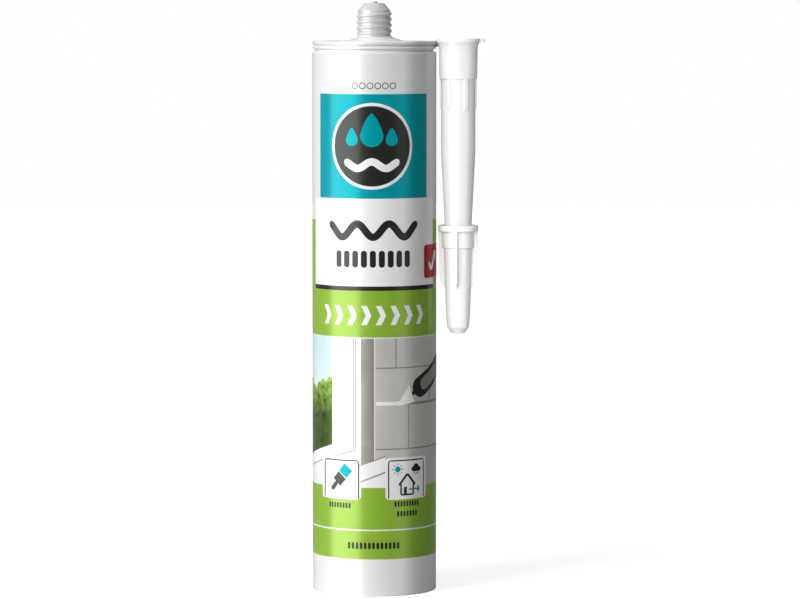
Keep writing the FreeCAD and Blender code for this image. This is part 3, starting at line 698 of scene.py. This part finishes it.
def stroke(angle, height, width):
    """A line of even width with round ends, drawn along points (angle, height).

    Each side is the path plus and minus half the width along its normal, and near the ends the half
    width shrinks as sqrt(1 - d^2), where d is how deep a point lies in the round end.
    """
    path = np.stack([np.asarray(angle, float) * DEGREE, np.asarray(height, float)], axis=1)
    step = np.linalg.norm(np.diff(path, axis=0), axis=1)
    run = np.concatenate([[0], np.cumsum(step)])
    half = width / 2
    cap_run = half * (1 - np.cos(np.linspace(0.15, np.pi / 2, 6)))
    middle = np.arange(1, max(2, int((run[-1] - 2 * half) / 0.3))) * 0.3 + half
    at = np.concatenate([cap_run, middle[middle < run[-1] - half - 0.05], run[-1] - cap_run[::-1]])
    line = np.stack([np.interp(at, run, path[:, 0]), np.interp(at, run, path[:, 1])], axis=1)
    slope = np.gradient(line, axis=0)
    slope /= np.linalg.norm(slope, axis=1)[:, None]
    normal = np.stack([-slope[:, 1], slope[:, 0]], axis=1)
    depth = np.clip(1 - np.minimum(at, run[-1] - at) / half, 0, 1)
    reach = (half * np.sqrt(1 - depth ** 2))[:, None]
    flat = (1 / DEGREE, 1.0)
    return between((line - normal * reach) * flat, (line + normal * reach) * flat)


def jointed(layer, angles, heights, width):
    """One stroke for each straight run of a line, on two layers in turn, so that its corners are round."""
    runs = range(len(angles) - 1)
    return [(layer + 0.5 * (k % 2), stroke(angles[k:k + 2], heights[k:k + 2], width)) for k in runs]


def straight(start, end, count=24):
    """Evenly spaced points on the line between two points."""
    return np.linspace(start, end, count)


def bar(start, end, width):
    """A straight bar with square ends from one point to another, its sides half the width away."""
    flat = np.array([DEGREE, 1.0])
    along = (np.array(end) - start) * flat
    length = np.linalg.norm(along)
    reach = np.array([-along[1], along[0]]) / length * width / 2 / flat
    line = straight(start, end, int(length / 0.4) + 2)
    return between(line - reach, line + reach)


# %% Wrapping ink on the barrel
INK_STEP = 0.03
INK_FILM = 0.02


def printed(name, patches):
    """One piece of ink from (layer, grid) patches: x = R sin a, y = -R cos a, z = z.

    R is one step further out for each layer. Patches that would face inwards are turned, and shared edges are
    merged. The rims are sharp, so that the film's thin side doesn't bend the shading of its face.
    """
    points, quads, count = [], [], 0
    for layer, grid in patches:
        across, along = grid[:, 1:] - grid[:, :-1], grid[1:] - grid[:-1]
        facing = across[:-1, :, 0] * along[:, :-1, 1] - across[:-1, :, 1] * along[:, :-1, 0]
        grid = grid if facing.sum() > 0 else grid[::-1]
        radius = BODY_RADIUS + INK_STEP * (layer + 1)
        angle = np.radians(grid[..., 0])
        wrapped = np.stack([radius * np.sin(angle), -radius * np.cos(angle), grid[..., 1]], axis=-1)
        quads.append(grid_quads(*grid.shape[:2], wrap_columns=False) + count)
        points.append(wrapped.reshape(-1, 3))
        count += len(points[-1])
    piece = mesh_piece(name, np.concatenate(points), np.concatenate(quads))
    shell = bmesh.new()
    shell.from_mesh(piece.data)
    bmesh.ops.remove_doubles(shell, verts=shell.verts, dist=0.002 * MM)
    for edge in shell.edges:
        edge.smooth = not edge.is_boundary
    shell.to_mesh(piece.data)
    shell.free()
    film = piece.modifiers.new("film", "SOLIDIFY")
    film.thickness = INK_FILM * MM
    film.offset = -1.0
    return piece


# %% [markdown]
# The green, teal and charcoal fields
#
# Green runs round the whole barrel, with the front panel, the picture and the back panel left bare. The teal
# panel above carries a dark disc with three drops and a wave.

# %% Green
green = printed("print_green_ink", [
    (0, field(0, 360, 14.9, 26.1)),
    (0, field(0, 360, 26.7, 43.2)),
    (0, field(96, 264, 43.2, 52.0)),
    (0, field(96, 132, 52.0, 102.5)),
    (0, field(228, 264, 52.0, 102.5)),
    (0, field(-132, 132, 102.5, 120.8)),
    (0, field(70, 132, 120.8, 138.0)),
    (0, field(228, 290, 120.8, 138.0)),
    (0, field(70, 290, 138.0, 147.9)),
])
print("green ink:", len(green.data.polygons), "faces")


# %% Teal
DISC_AT, DISC_HEIGHT, DISC_RADIUS = -2.0, 177.35, 15.6
SUN_AT, SUN_HEIGHT = 22.3, 50.3


def sun_rays(centre, height, inner, outer, count, width):
    """Short strokes that point away from one place, evenly round it."""
    turn = np.arange(count) * 2 * np.pi / count
    radii = np.array([inner, outer])
    return [stroke(centre + radii * math.cos(a) / DEGREE, height + radii * math.sin(a), width) for a in turn]


teal = printed("print_teal_ink", [
    (0, field(-59.2, 56.9, 156.9, 197.7)),
    (3, drop(DISC_AT, 181.6, 4.6, 8.6)),
    (3, drop(DISC_AT - 18.5, 179.9, 2.5, 4.7)),
    (3, drop(DISC_AT + 18.5, 179.9, 2.5, 4.7)),
    (3, bar((-30.1, 48.2), (-24.2, 51.2), 4.5)),
    (3, disc(SUN_AT, SUN_HEIGHT, 1.15)),
    (4, stroke([33.5, 45.8], [42.2, 42.2], 0.6)),
] + jointed(4.5, [43.4, 46.0, 43.4], [43.4, 42.2, 41.0], 0.6)
  + [(3, grid) for grid in sun_rays(SUN_AT, SUN_HEIGHT, 1.55, 2.35, 8, 0.36)]
  + [(3, stroke([angle, angle - 0.8], [49.0, 47.9], 0.36)) for angle in (40.3, 42.6, 44.9)])
print("teal ink:", len(teal.data.polygons), "faces")


# %% [markdown]
# The wave on the front panel stands for the bead that the tube lays. It is a stroke along a cosine. Rows of
# short rounded bars and small rings fill the label's other places, and thin lines the panel at the back.

# %% Charcoal
def wave(start, end, height, swing, periods, width):
    """A stroke along height + swing cos(2 pi periods s), where s runs from 0 to 1 between the two angles."""
    s = np.linspace(0, 1, 400)
    return stroke(start + (end - start) * s, height + swing * np.cos(2 * np.pi * periods * s), width)


def course(start, end, count, share, low, high, corner):
    """A row of equal rounded fields, each covering a share of its place."""
    place = (end - start) / count
    first = start + place * (np.arange(count) + (1 - share) / 2)
    return [rounded_field(angle, angle + place * share, low, high, corner) for angle in first]


def icon_frame(left, right):
    """The thin dark line round a pictogram, open at the foot."""
    angles = [left, left, left + 0.6, left + 1.9, right - 1.9, right - 0.6, right, right]
    heights = [38.7, 52.9, 53.5, 53.8, 53.8, 53.5, 52.9, 38.7]
    return jointed(3, angles, heights, 0.5)


cloud = [(3, disc(38.8, 50.1, 0.95)), (3, disc(42.0, 50.8, 1.4)), (3, disc(45.4, 50.1, 0.95)),
         (3.5, field(38.8, 45.4, 49.15, 50.1))]
LINE_SHARES = [1, 0.93, 0.98, 0.64, 1, 0.95, 0.9, 0.42]
BAR_WIDTHS = [1.2, 0.6, 1.8, 0.6, 1.0, 1.6, 0.6, 1.2] * 2
back_lines = [(1, field(142, 142 + 76 * share, z, z + 0.9))
              for share, z in zip(LINE_SHARES, np.arange(126, 100, -3.4))]
back_bars = [(1, field(160 + angle, 160 + angle + wide, 60, 76))
             for angle, wide in zip(np.arange(0, 40, 2.5), BAR_WIDTHS)]
charcoal = printed("print_charcoal_ink", [
    (1, disc(DISC_AT, DISC_HEIGHT, DISC_RADIUS)),
    (1, wave(-45, 43.5, 144.4, 2.6, 3, 2.9)),
    (1, field(-70, 70, 120.8, 122.5)),
    (3, stroke([-42.3, -36.0], [41.9, 45.2], 1.8)),
    (3, bar((-36.4, 45.0), (-30.6, 47.9), 4.5)),
    (3, field(28.2, 31.4, 40.3, 43.3)),
    (2, stroke([39, 94], [80.6, 92.4], 8.2)),
    (2, stroke([34, 42], [78.6, 81.2], 1.5)),
    (1, bar((-19.2, 58.0), (-19.2, 102.0), 0.22)),
    (1, bar((-17.3, 58.3), (-17.3, 102.0), 0.22)),
    (1, bar((-83.6, 49.6), (-17.3, 58.0), 0.25)),
] + [(1, grid) for grid in course(-38, 36, 9, 0.68, 129.9, 136.5, 1.1)]
  + [(1, grid) for grid in course(-46.5, -21.5, 8, 0.62, 34.9, 37.1, 0.4)]
  + [(1, grid) for grid in course(18.5, 45.5, 9, 0.62, 35.5, 37.7, 0.4)]
  + [(1, grid) for grid in course(21, 43.5, 7, 0.62, 31.6, 33.8, 0.4)]
  + [(1, grid) for grid in course(-25.5, 24.5, 13, 0.62, 18.9, 21.6, 0.5)]
  + [(0, ring(angle, 200.9, 1.0, 1.3)) for angle in np.linspace(-17.5, 17.5, 6)]
  + jointed(3, [23.4, 32.0, 40.6], [44.0, 48.4, 44.0], 0.9)
  + jointed(3, [25.4, 25.4, 38.6, 38.6], [44.4, 40.2, 40.2, 44.4], 0.7)
  + icon_frame(-51.6, -14.3) + icon_frame(13.4, 51.8) + cloud + back_lines + back_bars)
print("charcoal ink:", len(charcoal.data.polygons), "faces")


# %% [markdown]
# White, red and the picture
#
# The front panel has a white ground of ink, a little whiter than the plastic: partly print and partly painted
# light, for the brighter light on the panel. White chevrons stand in the green band and white grounds under
# the two pictograms. The picture shows trees through a white window at the left, and at the right a tiled
# wall where a trowel draws a fresh joint.

# %% White
PICTURE_FOOT = 43.2
PICTURE_TOP = 102.0
WINDOW_EDGE = -42
WINDOW_CORNER = 59.8
WINDOW_ANGLES = np.arange(-96.0, -41.5, 0.5)


def chevron(start, low, high, width, lean):
    """A bar that bends in the middle: both edges go out by lean and back again."""
    middle = (low + high) / 2
    edge = np.array([(start, low), (start + lean, middle), (start, high)])
    return between(edge, edge + (width, 0), 6)


# The lower edge of the window in mm climbs 0.13 mm a degree, up to its corner.
window_foot = WINDOW_CORNER + 0.13 * (WINDOW_ANGLES - WINDOW_EDGE)
white = printed("print_white_ink", [
    # The front panel's white ground: white ink that is also painted light, whiter so the panel reads as more
    # brightly lit.
    (0, field(-70, 70, 121.5, 156.9)),
    (0, field(WINDOW_EDGE, -12, PICTURE_FOOT, WINDOW_CORNER)),
    (0, field(WINDOW_EDGE, -12, WINDOW_CORNER, PICTURE_TOP)),
    (0, over_angles(WINDOW_ANGLES, PICTURE_FOOT, window_foot, 1)),
    (1, between(straight((-14, 43.2), (10.5, 43.2)), straight((-14, 51.6), (10.5, 55.4)))),
    (3, between(straight((22.5, 75.3), (40.0, 76.6)), straight((22.5, 76.5), (34.0, 83.4)))),
    (2, rounded_field(-55.5, -12.0, 38.4, 55.0, 1.4)),
    (2, rounded_field(10.4, 55.3, 38.4, 55.0, 1.4)),
    (2, ring(DISC_AT, DISC_HEIGHT, 15.75, 16.9)),
    (2, wave(DISC_AT - 26, DISC_AT + 26, 170.0, 1.3, 2, 2.9)),
    (2, stroke([1.6, 25.0], [76.4, 76.4], 1.5)),
] + jointed(3, [61, 65.5, 75], [131.2, 128.2, 135.6], 1.6)
  + [(1, chevron(angle, 107.3, 114.9, 5.2, 4.2)) for angle in np.linspace(-52, 42, 8)])
print("white ink:", len(white.data.polygons), "faces")


# %% Red
red = printed("print_red_ink", [(2, rounded_field(52.8, 95, 125.1, 138.2, 1.2))])
print("red ink:", len(red.data.polygons), "faces")


# %% Picture
def tree_line(angle):
    """Height of the trees in mm: a long wave and two shorter ones."""
    return 85.2 + 2.6 * np.sin((angle + 52) / 11) + 0.9 * np.sin(angle / 3.4) + 0.5 * np.sin(angle / 1.3)


trees = tree_line(WINDOW_ANGLES)
sky = printed("print_sky_ink", [(0, over_angles(WINDOW_ANGLES, trees, PICTURE_TOP, 1))])
leaf = printed("print_leaf_ink", [(0, over_angles(WINDOW_ANGLES, window_foot, trees, 1))])
warm_grey = printed("print_warm_grey_ink", [
    (0, field(-12, 0, PICTURE_FOOT, PICTURE_TOP)),
    (0, field(-96, -56, PICTURE_FOOT, 46.6)),
    (1, bar((1.5, 58.4), (96, 58.4), 0.45)),
    (1, bar((1.5, 90.4), (96, 90.4), 0.45)),
    (1, bar((25.5, 76.2), (96, 76.2), 0.9)),
    (1, bar((33.4, 58.6), (33.4, 75.8), 0.4)),
    (1, bar((62.4, 76.6), (62.4, 90.2), 0.4)),
    (1, bar((20.4, 90.6), (20.4, 102.0), 0.4)),
    (3, stroke([48, 80], [82.5, 89.4], 5.0)),
    (2, bar((-14, 51.8), (10.5, 55.6), 0.4)),
    (2, bar((-14, 45.2), (10.5, 49.4), 0.55)),
])
pale_grey = printed("print_pale_grey_ink", [(0, field(1, 96, PICTURE_FOOT, PICTURE_TOP))])
print("picture:", [len(piece.data.polygons) for piece in (sky, leaf, warm_grey, pale_grey)], "faces")


# %% [markdown]
# Plastics
#
# HDPE and LDPE are milky plastics with an index of refraction of 1.54 and 1.51. An injection mould gives them
# a satin skin: soft, wide reflections with a fine pebble that only breaks up a highlight.

# %% Moulded plastic
CLOUD_SIZE = 25


def moulded(name, light, dark, roughness, ior, grain, depth, painted_nose_shade=None):
    """Two near shades in broad clouds, and a pebble of grain mm raised by depth mm.

    painted_nose_shade is painted on what stands above 219 mm: a darker colour as painted shade, for the
    weaker light on the nose.
    """
    material, tree = bare_material(name)
    place = add_node(tree, "ShaderNodeTexCoord").outputs["Object"]
    cloud = add_node(tree, "ShaderNodeTexNoise", Vector=place, Scale=1 / (CLOUD_SIZE * MM), Detail=2.0)
    shade = mixed_colour(tree, cloud.outputs[0], linear(dark), linear(light))
    if painted_nose_shade:
        up = add_node(tree, "ShaderNodeSeparateXYZ", Vector=place).outputs["Z"]
        climb = add_node(tree, "ShaderNodeMapRange", Value=up, From_Min=219 * MM, From_Max=221 * MM)
        shade = mixed_colour(tree, climb.outputs[0], shade, linear(painted_nose_shade))
    pebble = add_node(tree, "ShaderNodeTexNoise", Vector=place, Scale=1 / (grain * MM), Detail=3.0)
    bump = add_node(tree, "ShaderNodeBump", Strength=1.0, Distance=depth * MM, Height=pebble.outputs[0])
    skin = add_node(tree, "ShaderNodeBsdfPrincipled", Base_Color=shade, Roughness=roughness, IOR=ior,
                    Normal=bump.outputs[0])
    add_node(tree, "ShaderNodeOutputMaterial", Surface=skin.outputs[0])
    return material


# Above 219 mm the barrel's nose is painted darker: a painted shade for the weaker light that falls on the
# nose.
barrel_hdpe = moulded("satin_white_hdpe", "#E9E9E8", "#E7E7E7", 0.27, 1.54, 0.8, 0.0008, painted_nose_shade="#C6C7C7")
nozzle_hdpe = moulded("satin_nozzle_hdpe", "#F6F6F5", "#F3F4F4", 0.34, 1.54, 0.7, 0.001)
cap_ldpe = moulded("satin_cap_ldpe", "#F7F7F7", "#F4F4F4", 0.36, 1.51, 0.7, 0.001)
plunger_ldpe = moulded("milky_plunger_ldpe", "#E4E6E2", "#DCDFDB", 0.40, 1.51, 0.9, 0.006)
acrylic_paste = moulded("wet_acrylic_paste", "#F2F1EE", "#ECEBE7", 0.22, 1.45, 3.0, 0.05)
hot_melt = moulded("hot_melt_glue", "#E9E4D6", "#E1DAC8", 0.15, 1.48, 1.5, 0.02)
print("plastics:", [m.name for m in (barrel_hdpe, nozzle_hdpe, cap_ldpe, plunger_ldpe)])


# %% [markdown]
# Inks
#
# Offset ink under a clear varnish is smoother than the moulded plastic, so its streak is sharper. A faint
# mottle comes from the ink's uneven film. The sky and the leaves of the picture shade from one colour to
# another with height.

# %% Varnished ink
FILM_GRAIN = 0.5
FILM_BUMP = 0.0006


def ink(name, low_colour, high_colour, low, high, mottle_colour, mottle_size=6.0, gleam="#FFFFFF", level=0.5,
        axis="Z"):
    """Colour from low_colour to high_colour between two places on an axis in mm, with clouds of a third.

    gleam tints the reflection, because some of the light goes through the varnish and comes back coloured.
    """
    material, tree = bare_material(name)
    place = add_node(tree, "ShaderNodeTexCoord").outputs["Object"]
    along = add_node(tree, "ShaderNodeSeparateXYZ", Vector=place).outputs[axis]
    climb = add_node(tree, "ShaderNodeMapRange", Value=along, From_Min=low * MM, From_Max=high * MM)
    shade = mixed_colour(tree, climb.outputs[0], linear(low_colour), linear(high_colour))
    cloud = add_node(tree, "ShaderNodeTexNoise", Vector=place, Scale=1 / (mottle_size * MM), Detail=4.0)
    spread = add_node(tree, "ShaderNodeMapRange", Value=cloud.outputs[0], From_Min=0.42, From_Max=0.72)
    mottled = mixed_colour(tree, spread.outputs[0], shade, linear(mottle_colour))
    film = add_node(tree, "ShaderNodeTexNoise", Vector=place, Scale=1 / (FILM_GRAIN * MM), Detail=2.0)
    bump = add_node(tree, "ShaderNodeBump", Strength=1.0, Distance=FILM_BUMP * MM, Height=film.outputs[0])
    skin = add_node(tree, "ShaderNodeBsdfPrincipled", Base_Color=mottled, Roughness=0.26, IOR=1.5,
                    Specular_IOR_Level=level, Specular_Tint=linear(gleam), Normal=bump.outputs[0])
    add_node(tree, "ShaderNodeOutputMaterial", Surface=skin.outputs[0])
    return material


green_ink = ink("varnished_green_ink", "#8DB738", "#8FB93B", 15, 148, "#8BB536", gleam="#E3FFA8")
teal_ink = ink("varnished_teal_ink", "#009AA7", "#029EAB", 40, 198, "#0098A5", gleam="#50E8F6")
charcoal_ink = ink("varnished_charcoal_ink", "#252524", "#272726", 20, 195, "#222221", gleam="#9EA29C")
red_ink = ink("varnished_red_ink", "#B01026", "#B51229", 125, 139, "#AB0E23", gleam="#FF9A9A", level=0.3)
white_ink = ink("varnished_white_ink", "#FAFAF9", "#FBFBFA", 38, 193, "#F9F9F8")
sky_ink = ink("printed_sky", "#E6F5F7", "#CDEEF4", 84, 102, "#DDF3F6", 9.0)
leaf_ink = ink("printed_leaves", "#465C2C", "#B6DE5C", 71, 88, "#2E3E1B", 2.6, gleam="#E3FFA8", level=0.25)
pale_grey_ink = ink("printed_pale_grey", "#C9C7C3", "#CFCDCA", 43, 102, "#C4C2BE", 14.0)
warm_grey_ink = ink("printed_warm_grey", "#B9B6B1", "#8A8681", -5.2, 0, "#928F89", 16.0, axis="X")
print("inks:", len([m for m in bpy.data.materials if "ink" in m.name or "printed" in m.name]))


# %% [markdown]
# Light for single pieces
#
# On the photograph the nozzle was lit by itself, softly and without the barrel's shadow. So the key lamp
# leaves out the nozzle and its cap here, and a wider lamp lights only them. A weak one fills the shade beside
# the cap's fins, whose milky plastic passes light. Another lamp, overhead, whitens what faces up, but not the
# floor. Such links are common in product renders.

# %% Linked lamps
def group_of(name, things):
    """A collection that only holds things for a lamp's links."""
    group = bpy.data.collections.new(name)
    for thing in things:
        group.objects.link(thing)
    return group


def lit_apart(lamp, angle, bounces, receivers, blockers=None):
    """Lets a lamp some degrees wide light only the receivers. Only blockers, if given, cast shadows."""
    lamp.data.angle = math.radians(angle)
    lamp.data.cycles.max_bounces = bounces
    lamp.visible_glossy = False
    lamp.light_linking.receiver_collection = group_of(lamp.name + "_receivers", receivers)
    if blockers:
        lamp.light_linking.blocker_collection = group_of(lamp.name + "_blockers", blockers)
    print(lamp.name, "lights", [thing.name for thing in receivers])


spout_pair = [nozzle, cap]
white_plastic = [barrel] + spout_pair
beside_spout = [floor, barrel, plunger, paste, glue_dot, green, teal, charcoal, red, white, sky, leaf,
                pale_grey, warm_grey]
lit_apart(key, 32, 1024, beside_spout)
lit_apart(studio_sun("nozzle_shading", 2.65, -22, 10), 60, 0, spout_pair, spout_pair)
lit_apart(studio_sun("cap_shading", 0.7, 4, 0), 90, 0, [cap], spout_pair)
lit_apart(studio_sun("overhead_shading", 1.6, -40, 84), 30, 4, white_plastic, white_plastic)


# %% [markdown]
# Joining the pieces to the frame
#
# Each new piece stands for one piece of the frame, takes its material and rides on its body. The paste takes
# its material and stays where it is, its placement baked into its mesh.

# %% Bodies, slots and materials
PIECES = [
    (barrel, "barrel", "cartridge", "barrel_hdpe", barrel_hdpe),
    (plunger, "plunger", "piston", "plunger_ldpe", plunger_ldpe),
    (nozzle, "nozzle", "cartridge", "nozzle_hdpe", nozzle_hdpe),
    (cap, "cap", "nozzle_cap", "cap_ldpe", cap_ldpe),
    (glue_dot, "glue_dot", "cartridge", "hot_melt", hot_melt),
    (green, "print_green", "cartridge", "green_ink", green_ink),
    (teal, "print_teal", "cartridge", "teal_ink", teal_ink),
    (charcoal, "print_charcoal", "cartridge", "charcoal_ink", charcoal_ink),
    (red, "print_red", "cartridge", "red_ink", red_ink),
    (white, "print_white", "cartridge", "white_ink", white_ink),
    (sky, "print_sky", "cartridge", "sky_ink", sky_ink),
    (leaf, "print_leaf", "cartridge", "leaf_ink", leaf_ink),
    (pale_grey, "print_pale_grey", "cartridge", "pale_grey_ink", pale_grey_ink),
    (warm_grey, "print_warm_grey", "cartridge", "warm_grey_ink", warm_grey_ink),
]
def dressed(piece, node, material):
    """Gives a piece and the node that it stands for the same material."""
    piece.data.materials.append(material)
    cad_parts[node].data.materials.clear()
    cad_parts[node].data.materials.append(material)


for piece, node, body, slot, material in PIECES:
    dressed(piece, node, material)
    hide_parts(node)
    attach(piece, body)
dressed(paste, "sealant", acrylic_paste)
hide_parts("sealant")
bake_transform(paste)
print("pieces:", len(PIECES) + 1)
